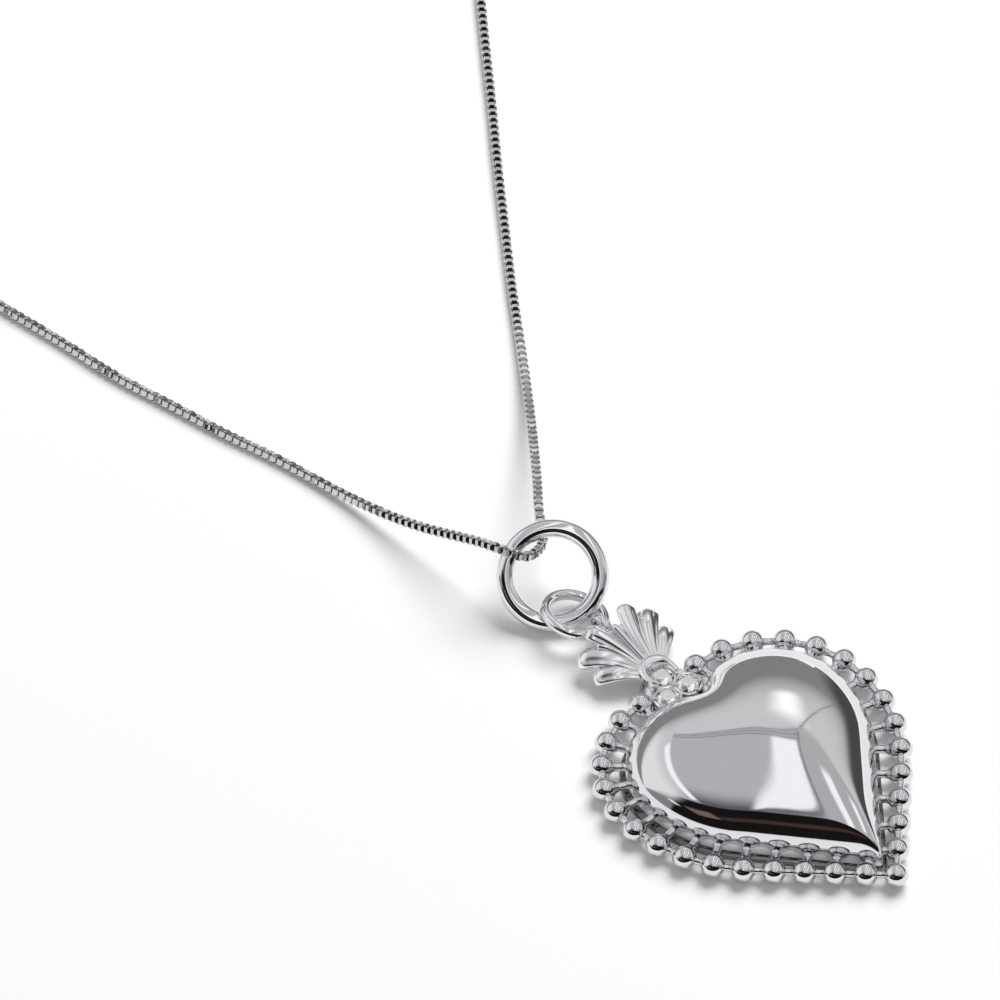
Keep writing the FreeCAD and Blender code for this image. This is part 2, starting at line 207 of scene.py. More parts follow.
# End cap: share of the way to the end piece, and radius
CAP_PROFILE = ((-0.25, 0.44), (-0.2, 0.5), (0.0, 0.52), (0.35, 0.52), (0.6, 0.42), (0.85, 0.3), (1.0, 0.26))

# Plain end pieces of the chain
HOOK_WIRE = 0.35
HOOK_EYE_RADIUS = 0.95
HOOK_SHANK = 6.0
HOOK_BEND_RADIUS = 1.5
HOOK_RETURN = 2.2
HOOK_TAPER = (0.97, 0.92, 0.86, 0.8)
END_RING_WIRE = 0.4
END_RING_RADIUS = 1.9

# Studio tones, as they show in polished metal
WALL = (0.27, 0.27, 0.275)
PALE_WALL = (0.72, 0.72, 0.73)
BRIGHT_WALL = (0.92, 0.92, 0.93)
SIDE_WALL = (0.52, 0.52, 0.53)
DARK_WALL = (0.08, 0.08, 0.083)
OPENING = (0.010, 0.009, 0.009)
WARM = (0.20, 0.145, 0.128)
DIM_WARM = (0.06, 0.037, 0.030)
PANEL = (0.55, 0.555, 0.57)
DIM_PANEL = (0.12, 0.12, 0.13)
BRIGHT_PANEL = (1.15, 1.15, 1.17)
SEAM = (0.20, 0.20, 0.205)
GLOW = (1.35, 1.35, 1.35)
WINDOW = (1.0, 1.0, 1.0)
BACK_LIGHT = 0.45
TENT_RADIUS = 20.0
TENT_COLUMNS = 48
TENT_ROWS = 16
FLOOR_HALF = 4.0
FLOOR_TONE = (0.9, 0.9, 0.903)
FLOOR_LIFT = 0.12

# Straight lines on the studio's ceiling: how much of across (to the right) and of depth (away from the
# viewer) each adds up
CEILING_LINES = {
    "across": (1, 0), "depth": (0, 1), "slanted": (1, -0.288), "steep": (1, -0.175), "edge": (0.26, 1),
    "corner": (1, -0.87), "near_left": (1, -1.7), "near_right": (-1, -1.7),
}
# The panel's far edge sags: depth less SAG times the square of the distance across from SAG_MIDDLE
SAG = 0.85
SAG_MIDDLE = -0.15
# The dark far wall lies in this direction, to the right and away from the viewer
SIDE_BEARING = (0.72, 0.69)

# Where the tones lie. (line, low, high, soft) is a band with soft edges; (line, start, full) rises from
# nothing at the first value to all at the second.
CEILING = (("across", -0.80, -0.78), ("slanted", 0.03, 0.02), ("sagged", 0.76, 0.74), ("edge", -0.99, -0.93))
NEAR = (("edge", -0.92, -0.98), ("near_left", -0.6, 0.2), ("near_right", -0.6, 0.2))
STUDIO = (
    (PALE_WALL, ("depth", 2.4, 1.1), ("depth", -0.9, -0.2)),
    (BRIGHT_WALL, ("across", -0.9, -1.5), ("depth", -1.2, -0.4), ("depth", 2.4, 1.2)),
    (SIDE_WALL, ("slanted", 0.035, 1.4, 0.01), ("depth", -1.3, 0.95, 0.03)),
    (DARK_WALL, ("sideways", 0.86, 0.95), ("height", 0.42, 0.24)),
    (BRIGHT_PANEL, ("slanted", 0.18, 0.29, 0.02), ("depth", -1.1, 0.6, 0.1)),
    (BRIGHT_PANEL, ("slanted", 0.56, 0.74, 0.04), ("depth", -0.6, 0.6, 0.1)),
    (PANEL, *CEILING),
    (DIM_PANEL, *CEILING, ("edge", -0.25, -0.9)),
    (BRIGHT_PANEL, ("across", -0.94, -0.81, 0.02), ("depth", -0.6, 0.85, 0.05)),
    (BRIGHT_PANEL, ("steep", -0.108, -0.080), ("slanted", 0.01, 0.0), ("sagged", 0.66, 0.62),
     ("edge", -0.93, -0.8)),
    *((SEAM, ("sagged", line - 0.006, line + 0.006, 0.006), ("across", -0.82, -0.78), ("slanted", 0.03, 0.02))
      for line in (0.66, 0.70, 0.74)),
    (SEAM, ("slanted", 0.018, 0.032, 0.006), ("depth", -0.95, 0.88, 0.02)),
    (GLOW, ("across", 0.10, 0.36, 0.12), ("depth", 0.98, 1.45, 0.12)),
    (SEAM, ("corner", -0.498, -0.482, 0.008), ("depth", 0.90, 2.64, 0.02)),
    (OPENING, *NEAR),
    (WARM, *NEAR, ("across", -1.85, -0.95, 0.1), ("depth", -2.15, -1.3, 0.1)),
    (DIM_WARM, *NEAR, ("across", -0.85, 0.1, 0.12), ("depth", -2.25, -1.6, 0.12)),
    (WINDOW, ("across", -2.75, -2.3, 0.08), ("depth", -1.55, -1.1, 0.08)),
)

# The colour sockets of a Mix node
MIX_FACTOR, MIX_A, MIX_B, MIX_COLOUR = 0, 6, 7, 2

# A direction that no axis here lies along, to start a circle from
ASIDE = (0.31, 0.83, 0.11)


# Small helpers
def unit(v):
    v = np.asarray(v, float)
    return v / np.linalg.norm(v)


def placed(points):
    """Points of the part's drawing in the frame."""
    return np.asarray(points, float) + (0, SHIFT_Y, 0)


def around(side, other, count):
    """Directions all round an axis, from side towards other."""
    angle = np.linspace(0, 2 * math.pi, count, endpoint=False)[:, None]
    return np.cos(angle) * side + np.sin(angle) * other


def frames_along(points, first_up=(0, 0, 1)):
    """Tangent, side and up at every point, carried along without twist."""
    points = np.asarray(points, float)
    tangent = np.gradient(points, axis=0)
    tangent /= np.linalg.norm(tangent, axis=1, keepdims=True)
    up = np.asarray(first_up, float)
    if abs(tangent[0] @ up) > 0.99:
        up = np.array([0.8, 0.6, 0.0])
    ups = []
    for t in tangent:
        up = unit(up - t * (up @ t))
        ups.append(up)
    ups = np.array(ups)
    return tangent, np.cross(tangent, ups), ups


def smoothstep(share):
    return share * share * (3 - 2 * share)


def strip_faces(rows, columns, closed=True):
    """Quads of a grid whose rows are rings (closed) or lines."""
    faces = []
    last = columns if closed else columns - 1
    for i in range(rows - 1):
        for j in range(last):
            k = (j + 1) % columns
            faces.append((i * columns + j, i * columns + k, (i + 1) * columns + k, (i + 1) * columns + j))
    return faces


def added(name, data):
    """An object with this data, in the scene."""
    made = bpy.data.objects.new(name, data)
    bpy.context.scene.collection.objects.link(made)
    return made


def dressed(name, mesh, body, material, stands_for):
    """A piece that rides on a body, takes a material and its slot, and stands for CAD nodes."""
    mesh.materials.append(material)
    made = added(name, mesh)
    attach(made, body)
    if stands_for:
        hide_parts(*stands_for)
    return made


def piece(name, verts, faces, body, material, stands_for, sharp):
    """A smooth mesh piece, given in millimetres, with edges sharper than an angle kept."""
    mesh = bpy.data.meshes.new(name)
    mesh.from_pydata([tuple(v) for v in np.asarray(verts, float) * MM], [], faces)
    mesh.validate()
    mesh.shade_smooth()
    mesh.set_sharp_from_angle(angle=math.radians(sharp))
    return dressed(name, mesh, body, material, stands_for)


def add_second_material(made, material, faces):
    """A second material on some of a piece's faces."""
    made.data.materials.append(material)
    for face in made.data.polygons[faces]:
        face.material_index = 1


def ring_faces(columns, rows, full=True):
    """Quads of a closed section turned all the way round, or part of it."""
    faces = []
    for i in range(columns if full else columns - 1):
        for j in range(rows):
            k, l = (i + 1) % columns, (j + 1) % rows
            faces.append((i * rows + j, k * rows + j, k * rows + l, i * rows + l))
    return faces


class Shape:
    """Vertices and faces of one piece, gathered from several closed forms."""

    def __init__(self):
        self.verts = []
        self.faces = []

    def add(self, verts, faces):
        """One more form."""
        start = len(self.verts)
        self.verts.extend([tuple(v) for v in verts])
        self.faces.extend([tuple(start + i for i in face) for face in faces])

    def grid(self, rings, caps=True):
        """Rings of points joined in order, with a fan at each end."""
        rings = [np.asarray(ring, float) for ring in rings]
        count = len(rings[0])
        verts = np.vstack(rings)
        faces = strip_faces(len(rings), count)
        if caps:
            verts = np.vstack([verts, rings[0].mean(0), rings[-1].mean(0)])
            first, last = len(verts) - 2, len(verts) - 1
            base = (len(rings) - 1) * count
            faces += [(first, (j + 1) % count, j) for j in range(count)]
            faces += [(last, base + j, base + (j + 1) % count) for j in range(count)]
        self.add(verts, faces)

    def tube(self, points, radii, sides=16, first_up=(0, 0, 1), round_ends=True):
        """A round bar along points."""
        points = np.asarray(points, float)
        radii = np.broadcast_to(np.asarray(radii, float), len(points)).astype(float)
        tangent, side, up = frames_along(points, first_up)
        rings = [p + r * around(s, u, sides) for p, r, s, u in zip(points, radii, side, up)]
        if round_ends:
            for end, sign in ((0, -1), (-1, 1)):
                circle = around(side[end], up[end], sides)
                extra = []
                for lat in np.radians((30, 60, 85)):
                    c, h = math.cos(lat) * radii[end], math.sin(lat) * radii[end]
                    extra.append(points[end] + sign * h * tangent[end] + c * circle)
                rings = extra[::-1] + rings if end == 0 else rings + extra
        self.grid(rings)

    def ball(self, centre, radius, columns=32, rows=20, axis=(0, 0, 1)):
        """A smooth ball."""
        axis = unit(axis)
        side = unit(np.cross(axis, ASIDE))
        circle = around(side, np.cross(axis, side), columns)
        rings = []
        for lat in np.radians(np.linspace(-88, 88, rows)):
            c, h = math.cos(lat) * radius, math.sin(lat) * radius
            rings.append(np.asarray(centre) + h * axis + c * circle)
        self.grid(rings)

    def torus(self, centre, normal, radius, wire, columns=128, rows=32, wire_up=None):
        """A closed ring of round wire, or of oval wire when wire_up is its half height."""
        normal = unit(normal)
        side = unit(np.cross(normal, ASIDE))
        verts = []
        for out in around(side, np.cross(normal, side), columns):
            for b in np.linspace(0, 2 * math.pi, rows, endpoint=False):
                verts.append(np.asarray(centre) + out * (radius + wire * math.cos(b))
                             + normal * ((wire_up or wire) * math.sin(b)))
        self.add(verts, ring_faces(columns, rows))

    def lathe(self, centre, profile, columns=48, first=0.0, last=360.0):
        """A profile of (radius, height) turned round the vertical through centre."""
        full = abs(last - first) >= 360
        angles = np.radians(np.linspace(first, last, columns, endpoint=not full))
        count = len(profile)
        verts = [(centre[0] + r * math.cos(a), centre[1] + r * math.sin(a), centre[2] + h)
                 for a in angles for r, h in profile]
        faces = ring_faces(columns, count, full)
        if not full:
            faces.append(tuple(range(count))[::-1])
            faces.append(tuple((columns - 1) * count + j for j in range(count)))
        self.add(verts, faces)

    def make(self, name, body, material, stands_for=(), sharp=35.0):
        """The piece of all that was gathered."""
        return piece(name, self.verts, self.faces, body, material, stands_for, sharp)


# Materials
def new_material(name, colour, metallic, roughness):
    """A material for a slot, with its node tree and shader."""
    material = bpy.data.materials.new(name + "_finish")
    material["slot"] = name
    material.use_nodes = True
    tree = material.node_tree
    shader = tree.nodes["Principled BSDF"]
    shader.inputs["Base Color"].default_value = (*colour, 1)
    shader.inputs["Metallic"].default_value = metallic
    shader.inputs["Roughness"].default_value = roughness
    return material, tree, shader


def new_node(tree, kind, **settings):
    """A shader node, with those of its inputs set that are named, words joined by _."""
    made = tree.nodes.new("ShaderNode" + kind)
    for name, value in settings.items():
        made.inputs[name.replace("_", " ")].default_value = value
    return made


def join(tree, *links):
    """Links, each given as source node, its output, target node and its input."""
    for source, output, target, entry in links:
        tree.links.new(source.outputs[output], target.inputs[entry])


def silver(name, light, dark, polish, worn, scratch, bump):
    """Polished rhodium-plated silver: cloudy polish, fine rubbing lines and a slightly uneven surface."""
    material, tree, shader = new_material(name, light, 1.0, polish)
    place = new_node(tree, "TexCoord")
    clouds = new_node(tree, "TexNoise", Scale=260.0, Detail=5.0)
    tint = new_node(tree, "Mix")
    tint.data_type = "RGBA"
    tint.inputs[MIX_A].default_value = (*dark, 1)
    tint.inputs[MIX_B].default_value = (*light, 1)
    rubbed = new_node(tree, "MapRange", From_Min=0.35, From_Max=0.75, To_Min=polish, To_Max=worn)
    stretch = new_node(tree, "Mapping", Rotation=(0.2, 0.35, 0.6), Scale=(900.0, 9000.0, 2500.0))
    lines = new_node(tree, "TexNoise", Scale=1.0, Detail=2.0)
    waves = new_node(tree, "TexNoise", Scale=420.0, Detail=1.5)
    fine = new_node(tree, "Bump", Strength=scratch, Distance=2e-6)
    uneven = new_node(tree, "Bump", Strength=bump, Distance=2e-5)
    join(tree, (place, "Object", clouds, "Vector"),
         (clouds, "Fac", tint, MIX_FACTOR), (tint, MIX_COLOUR, shader, "Base Color"),
         (clouds, "Fac", rubbed, "Value"), (rubbed, "Result", shader, "Roughness"),
         (place, "Object", stretch, "Vector"), (stretch, "Vector", lines, "Vector"),
         (lines, "Fac", fine, "Height"), (place, "Object", waves, "Vector"), (waves, "Fac", uneven, "Height"),
         (fine, "Normal", uneven, "Normal"), (uneven, "Normal", shader, "Normal"))
    return material


def clear_stone():
    """Cut white stone, with faint clouds in its body."""
    material, tree, shader = new_material("clear_stone", (1.0, 1.0, 1.0), 0.75, 0.0)
    shader.inputs["Transmission Weight"].default_value = 1.0
    shader.inputs["IOR"].default_value = 2.3
    place = new_node(tree, "TexCoord")
    clouds = new_node(tree, "TexNoise", Scale=900.0)
    haze = new_node(tree, "MapRange", To_Min=0.0, To_Max=0.015)
    join(tree, (place, "Object", clouds, "Vector"), (clouds, "Fac", haze, "Value"),
         (haze, "Result", shader, "Roughness"))
    return material


# Heart outline
def arc(centre, radius, first, last, count):
    """Points on a circle, between two angles in degrees."""
    angle = np.radians(np.linspace(first, last, count))
    return np.c_[centre[0] + radius * np.cos(angle), centre[1] + radius * np.sin(angle)]


def half_outline(half_width, notch_radius, notch_angle, flank_radius, tip_reach, dense=160):
    """Right half of a heart outline from the notch to the tip, as a dense line."""
    lobe_radius = half_width - LOBE_OFFSET
    lobe = np.array([LOBE_OFFSET, 0.0])
    turn = math.radians(notch_angle)
    notch = lobe + (lobe_radius - notch_radius) * np.array([math.cos(turn), math.sin(turn)])
    notch_end = math.degrees(math.acos(-notch[0] / notch_radius))
    flank = np.array([half_width - flank_radius, 0.0])
    tip = np.array([0.0, -tip_reach])
    to_tip = tip - flank
    turn = math.atan2(to_tip[1], to_tip[0]) + math.acos(flank_radius / np.linalg.norm(to_tip))
    runs = [arc(notch, notch_radius, notch_end, notch_angle, dense),
            arc(lobe, lobe_radius, notch_angle, 0, dense),
            arc(flank, flank_radius, 0, math.degrees(turn), dense)]
    runs.append(np.linspace(runs[-1][-1], tip, dense))
    return np.vstack([runs[0]] + [run[1:] for run in runs[1:]])


def lengths_along(line):
    """Length of the line up to each of its points."""
    return np.r_[0, np.cumsum(np.linalg.norm(np.diff(line, axis=0), axis=1))]


def points_at(line, lengths):
    """Points of the line at these lengths."""
    steps = lengths_along(line)
    return np.column_stack([np.interp(lengths, steps, line[:, k]) for k in range(line.shape[1])])


def resample(line, count):
    """Evenly spaced points on a line, ends kept."""
    return points_at(line, np.linspace(0, lengths_along(line)[-1], count))


SHELL_HALF = half_outline(SHELL_HALF_WIDTH, SHELL_NOTCH_RADIUS, SHELL_NOTCH_ANGLE, SHELL_FLANK_RADIUS,
                          SHELL_TIP_REACH)
SHELL_SIDE = resample(SHELL_HALF, 150)
SHELL_RING = np.vstack([SHELL_SIDE[:-1], (SHELL_SIDE * (-1, 1))[::-1][:-1]])
SHELL_PERIMETER = np.linalg.norm(np.roll(SHELL_RING, -1, 0) - SHELL_RING, axis=1).sum()


def soft_ring(spread):
    """The shell's outline with its corners softened over a length of spread."""
    wave = np.fft.fftfreq(len(SHELL_RING), 1 / len(SHELL_RING)) * 2 * math.pi / SHELL_PERIMETER
    keep = np.exp(-(wave * spread) ** 2 / 2)[:, None]
    return np.real(np.fft.ifft(np.fft.fft(SHELL_RING, axis=0) * keep, axis=0))


def shell_level(scale, level, height):
    """One ring of the shell: softer towards the crown, so that the notch's crease fades there."""
    ring = soft_ring(CORNER_SOFT + CREASE_FADE * (1 - level))
    middle = np.array([0, SHELL_CENTRE_Y])
    flat = middle + scale * level * (ring - middle)
    return placed(np.c_[flat, np.full(len(flat), height)])


def shell_rise(level):
    """Share of the crown's height, from 1 in the middle to 0 at the rim."""
    return (1 - level ** CROWN_POWER) ** (1 / WALL_POWER)


def heart_shell(body, material, shadow):
    """Puffed shell with an open hollow back, on a narrow ledge that takes the shadow material."""
    levels = np.sin(np.linspace(0.03, 1, 90) * math.pi / 2)
    inside = 1 - SHELL_WALL / SHELL_HALF_WIDTH
    outside = 1 + LEDGE_WIDTH / SHELL_HALF_WIDTH
    crown = SHELL_HEIGHT - SHELL_FOOT
    foot = [(1, 0.6), (1, 0.3), (1, 0.1), (1 - 0.006, 0.03), (1 - 0.012, 0.0), (inside + 0.012, 0.0),
            (inside, 0.1), (inside, 0.3), (inside, 0.6)]
    rings = [shell_level(1, t, SHELL_FOOT + crown * shell_rise(t)) for t in levels]
    rings += [shell_level(scale, 1, height) for scale, height in foot]
    rings += [shell_level(inside, t, SHELL_FOOT + (crown - SHELL_WALL) * shell_rise(t)) for t in levels[::-2]]
    shell = Shape()
    shell.grid(rings)
    polished_faces = len(shell.faces)
    ledge = [(0.99, 0.02), (0.99, LEDGE_HEIGHT), (outside - 0.012, LEDGE_HEIGHT),
             (outside - 0.004, LEDGE_HEIGHT - 0.04), (outside, LEDGE_HEIGHT - 0.14), (outside, 0.02)]
    rings = [shell_level(scale, 1, height) for scale, height in ledge]
    shell.grid(rings + rings[:1], caps=False)
    made = shell.make("heart_shell", body, material, ["heart_casting"], sharp=50)
    add_second_material(made, shadow, slice(polished_faces, None))


def row_points(count):
    """Places of one side's beads, from the notch to the tip."""
    half = half_outline(ROW_HALF_WIDTH, ROW_HALF_WIDTH - LOBE_OFFSET, ROW_START_ANGLE, ROW_FLANK_RADIUS,
                        ROW_TIP_REACH)
    bearing = np.degrees(np.arctan2(half[:, 1], half[:, 0] - LOBE_OFFSET))
    return resample(half[bearing <= ROW_START_ANGLE + 0.01], count + 1)


def bead_row(body, material):
    """Round beads, the necks between them and a stem from each to the shell."""
    row = Shape()
    wall = placed(np.c_[SHELL_RING, np.full(len(SHELL_RING), BEAD_HEIGHT)])
    spread = np.linspace(-1, 1, 9)
    for side, count in ((1, BEADS_RIGHT), (-1, BEADS_LEFT)):
        flat = row_points(count) * (side, 1)
        centres = placed(np.c_[flat, np.full(len(flat), BEAD_HEIGHT)])
        for here, ahead in zip(centres, centres[1:]):
            along = ahead - here
            row.ball(here, BEAD_RADIUS, axis=along)
            middle = here + along * np.linspace(0.25, 0.75, 9)[:, None]
            row.tube(middle, NECK_RADIUS * (1 + 0.5 * spread ** 2), sides=20, round_ends=False)
            foot = wall[np.linalg.norm(wall - here, axis=1).argmin()]
            reach = here + (foot - here) * np.linspace(0.45, 1.1, 9)[:, None]
            row.tube(reach, STEM_RADIUS * (1 + 0.55 * spread ** 4), sides=20, round_ends=False)
    row.ball(placed((0, -ROW_TIP_REACH, BEAD_HEIGHT)), BEAD_RADIUS, axis=(1, 0, 0))
    row.make("bead_row", body, material, ["heart_casting"])


# Setting and stones
def stone_centres():
    """Girdle centres of the stones, by node."""
    reach = STONE_SPACING / math.sqrt(3)
    base = np.array([0, CLUSTER_Y, GIRDLE_HEIGHT])
    turns = {"stone_flame": 90, "stone_left": 210, "stone_right": 330}
    return {name: placed(base + reach * np.array([math.cos(turn), math.sin(turn), 0]))
            for name, turn in zip(turns, np.radians(list(turns.values())))}


def brilliant(name, centre, body, material):
    """Round brilliant cut: table, stars, kites, upper halves, girdle, lower halves and mains."""
    def circle(radius, height, count, half_step=False):
        angle = (np.arange(count) + (0.5 if half_step else 0)) * 2 * math.pi / count
        return np.c_[radius * np.cos(angle), radius * np.sin(angle), np.full(count, height)]

    top = STONE_GIRDLE / 2
    corners = np.vstack([
        circle(STONE_TABLE, top + STONE_CROWN, 8, True),
        circle(STONE_KITE[0], top + STONE_KITE[1], 8),
        circle(STONE_RADIUS, top, 16),
        circle(STONE_RADIUS, -top, 16),
        circle(STONE_LOWER[0], -top - STONE_LOWER[1], 8, True),
        [(0, 0, -top - STONE_PAVILION)],
    ]) + centre
    mesh = bpy.data.meshes.new(name + "_cut")
    form = bmesh.new()
    for corner in corners * MM:
        form.verts.new(corner)
    bmesh.ops.convex_hull(form, input=form.verts)
    bmesh.ops.dissolve_limit(form, angle_limit=math.radians(1.0), verts=form.verts, edges=form.edges)
    form.to_mesh(mesh)
    form.free()
    dressed(name + "_cut", mesh, body, material, [name])


def setting(body, material):
    """Three turned cups with bright-cut rims and beaded prongs, on a plate."""
    cups = Shape()
    outer = STONE_RADIUS + 0.03 + CUP_WALL
    inner = STONE_RADIUS + 0.015
    middle = placed((0, CLUSTER_Y, 0))
    for centre in stone_centres().values():
        rim = centre[2]
        cups.lathe((centre[0], centre[1], 0), [
            (outer - 0.05, 0.02), (outer, 0.08), (outer, rim - 0.12), (outer - 0.04, rim - 0.02),
            (outer - 0.12, rim + 0.03), (inner + 0.02, rim + 0.01), (inner, rim - 0.06),
            (0.2, rim - STONE_PAVILION - 0.02), (0.12, 0.35), (0.3, 0.02)], columns=56)
        bearing = math.atan2(centre[1] - middle[1], centre[0] - middle[0])
        for turn in np.radians(PRONG_TURNS) + bearing:
            out = np.array([math.cos(turn), math.sin(turn), 0])
            seat = centre + (STONE_RADIUS + 0.1) * out
            lean = seat - 0.06 * out + (0, 0, 0.16)
            cups.tube([seat - (0, 0, 0.5), seat - (0, 0, 0.1), lean], PRONG_RADIUS)
    cups.lathe(middle, [
        (PLATE_RADIUS - 0.05, 0.02), (PLATE_RADIUS, 0.1), (PLATE_RADIUS, PLATE_HEIGHT - 0.07),
        (PLATE_RADIUS - 0.08, PLATE_HEIGHT), (PLATE_BORE, PLATE_HEIGHT), (PLATE_BORE, 0.02)], columns=96)
    cups.make("stone_setting", body, material, ["heart_casting"])


def collar(body, material):
    """Rounded crescent behind the upper stone, from which the flame grows, and the lip under it."""
    centre = stone_centres()["stone_flame"] - (0, 0, GIRDLE_HEIGHT)
    angle = np.radians(np.linspace(*COLLAR_ENDS, 49))
    wire = COLLAR_WIRE + (COLLAR_BULGE - COLLAR_WIRE) * np.clip(np.sin(angle), 0, 1) ** 1.5
    reach = COLLAR_INNER + wire
    path = centre + np.c_[reach * np.cos(angle), reach * np.sin(angle), COLLAR_HEIGHT - wire]
    lip = Shape()
    lip.tube(path, wire, sides=32)
    inner, outer = COLLAR_INNER + 0.1, COLLAR_INNER + 0.5
    lip.lathe(centre, [(inner, 0.3), (inner, 1.25), (outer, 1.25), (outer, 0.3)], first=-20, last=200)
    lip.make("flame_collar", body, material, ["heart_casting"])


# Flame
def bezier(start, control, end, t):
    """Points on a quadratic curve."""
    t = np.asarray(t)[:, None]
    return np.asarray(start) * (1 - t) ** 2 + np.asarray(control) * 2 * t * (1 - t) + np.asarray(end) * t ** 2


def fluted_leaf(form, start, control, end, root_radius, tip_radius, curl):
    """A leaf of the flame: a fluted rib that swells, and curls over at its rounded tip."""
    share = np.linspace(0, 1, LEAF_STEPS)
    path = bezier(start, control, end, share)
    ahead = unit(path[-1] - path[-3])
    up = np.cross(unit(np.cross(ahead, (0, 0, 1))), ahead)
    curve = tip_radius * LEAF_CURL
    roll = [path[-1] + curve * (math.sin(a) * ahead - (1 - math.cos(a)) * up)
            for a in np.radians(np.linspace(0, curl, 14)[1:])]
    path = np.vstack([path, roll])
    _, sides, ups = frames_along(path)
    swelling = root_radius + (tip_radius - root_radius) * np.sin(share * math.pi / 2) ** 1.3
    closing = tip_radius * np.sqrt(1 - 0.97 * np.linspace(0.03, 1, len(roll)) ** 2)
    phi = np.linspace(0, 2 * math.pi, 48, endpoint=False)
    flutes = np.clip(np.sin(phi) * 2.5, 0, 1) * np.cos((phi - math.pi / 2) * FLUTES)
    rings = []
    for i, (p, r, s, u) in enumerate(zip(path, np.r_[swelling, closing], sides, ups)):
        depth = FLUTE_DEPTH * min(1.0, i / 6, max(0.0, 1 - (i - LEAF_STEPS + 3) / 8))
        reach = r * (1 + depth * flutes)
        across, above = LEAF_WIDE * reach * np.cos(phi), LEAF_FLAT * reach * np.sin(phi)
        rings.append(p + across[:, None] * s + above[:, None] * u)
    form.grid(rings)


def web(form, middle, outline):
    """A thick dished sheet under the leaves, from near their root out to their tips."""
    under = resample(outline, 60)
    top = np.array([middle + (under - middle) * (share, share, 1) - (0, 0, (1 - share) * WEB_DISH)
                    for share in np.linspace(0.15, 1, 14)])
    rows, count = top.shape[:2]
    top = top.reshape(-1, 3)
    size = len(top)
    faces = strip_faces(rows, count, closed=False)
    faces += [tuple(size + i for i in reversed(face)) for face in faces]
    outer, far = (rows - 1) * count, count - 1
    rim = []
    for j in range(count - 1):
        rim += [(j + 1, j), (outer + j, outer + j + 1)]
    for i in range(0, outer, count):
        rim += [(i, i + count), (i + count + far, i + far)]
    faces += [(a, b, size + b, size + a) for a, b in rim]
    form.add(np.vstack([top, top - (0, 0, WEB_THICKNESS)]), faces)


def flame(body, material):
    """Palmette flame: three pairs of fluted leaves, fine ribs between them, a web below and the tongue."""
    form = Shape()
    root = CLUSTER_Y + STONE_SPACING / math.sqrt(3) + FLAME_ROOT
    leaves = []
    for side in (-1, 1):
        for *points, root_radius, tip_radius, curl in FLAME_LEAVES:
            points = [placed((side * x, root + y, z)) for x, y, z in points]
            fluted_leaf(form, *points, root_radius, tip_radius, curl)
            leaves.append(points)
    for first, second in ((0, 1), (1, 2), (3, 4), (4, 5), (0, 3)):
        start, control, end = [(p + q) / 2 for p, q in zip(leaves[first], leaves[second])]
        end = control + (end - control) * RIB_REACH
        path = bezier(*[p + (0, 0, RIB_LIFT) for p in (start, control, end)], np.linspace(0, 1, 20))
        form.tube(path, np.linspace(*RIB_RADII, 20), sides=20)
    fan = [leaves[i] for i in (2, 1, 0, 3, 4, 5)]
    outline = np.array([control + (end - control) * WEB_REACH - (0, 0, WEB_DROP) for _, control, end in fan])
    web(form, placed((0, root, 0)), outline)
    eye = placed((0, EYELET_Y - EYELET_BORE - EYELET_WALL, EYELET_BORE + 2 * EYELET_WALL))
    start = placed((0, root, eye[2] - EYELET_WALL))
    form.tube(np.linspace(start, eye, 12), np.linspace(*TONGUE_RADII, 12), sides=24)
    form.make("palmette_flame", body, material, ["heart_casting"], sharp=60)


def eyelet(body, material):
    """Round eye behind the flame, for the small ring."""
    loop = Shape()
    centre = placed((0, EYELET_Y, EYELET_BORE + EYELET_WALL))
    loop.torus(centre, (1, 0, 0), EYELET_BORE + EYELET_WALL / 2, EYELET_WALL / 2, 96, 32, EYELET_WIDTH / 2)
    loop.make("eyelet", body, material, ["heart_casting"])


def jump_ring(name, centre, normal, radius, wire, body, material, node, columns, rows):
    """A closed ring of round wire that stands for one node."""
    ring = Shape()
    ring.torus(centre, normal, radius, wire, columns, rows)
    ring.make(name, body, material, [node])


# Chain
def flat_pair(coil):
    """Centre and outward direction of a coil as points in space."""
    return np.array([*coil[0], 0.0]), np.array([*coil[1], 0.0])


def coil_points(coil, turns):
    """Control points of the tied coil, from the outer turn in, up a layer and out again."""
    centre, outward = np.array(coil[0]), np.array(coil[1])
    start = math.atan2(-outward[1], -outward[0])
    grow = 1 / math.cos(math.pi / COIL_POINTS) ** 2
    points = []
    for i in range(int(round(turns * COIL_POINTS)) + 1):
        t = i / COIL_POINTS
        turn = min(int(t), len(COIL_RADII) - 1)
        following = min(turn + 1, len(COIL_RADII) - 1)
        part = max(0.0, (t - turn - (1 - 2 * COIL_SHIFT)) / (2 * COIL_SHIFT))
        ease = smoothstep(min(1.0, part * 1.8))
        rise = smoothstep(max(0.0, (part - 0.45) / 0.55))
        radius = COIL_RADII[turn] + (COIL_RADII[following] - COIL_RADII[turn]) * ease
        height = COIL_HEIGHTS[turn] + (COIL_HEIGHTS[following] - COIL_HEIGHTS[turn]) * rise
        angle = start + 2 * math.pi * t
        flat = centre + radius * grow * np.array([math.cos(angle), math.sin(angle)])
        points.append((flat[0], flat[1], height))
    return points


def smooth_line(name, points):
    """A NURBS line with those control points, and the points that it runs through, evenly spaced."""
    curve = bpy.data.curves.new(name + "_route", "CURVE")
    curve.dimensions = "3D"
    curve.resolution_u = 16
    spline = curve.splines.new("NURBS")
    spline.points.add(len(points) - 1)
    for place, point in zip(spline.points, points):
        place.co = (*(c * MM for c in point), 1)
    spline.order_u = 3
    spline.use_endpoint_u = True
    route = bpy.data.objects.new(name + "_route", curve)
    mesh = bpy.data.meshes.new_from_object(route)
    line = np.array([v.co for v in mesh.vertices]) / MM
    bpy.data.objects.remove(route)
    bpy.data.meshes.remove(mesh)
    return line


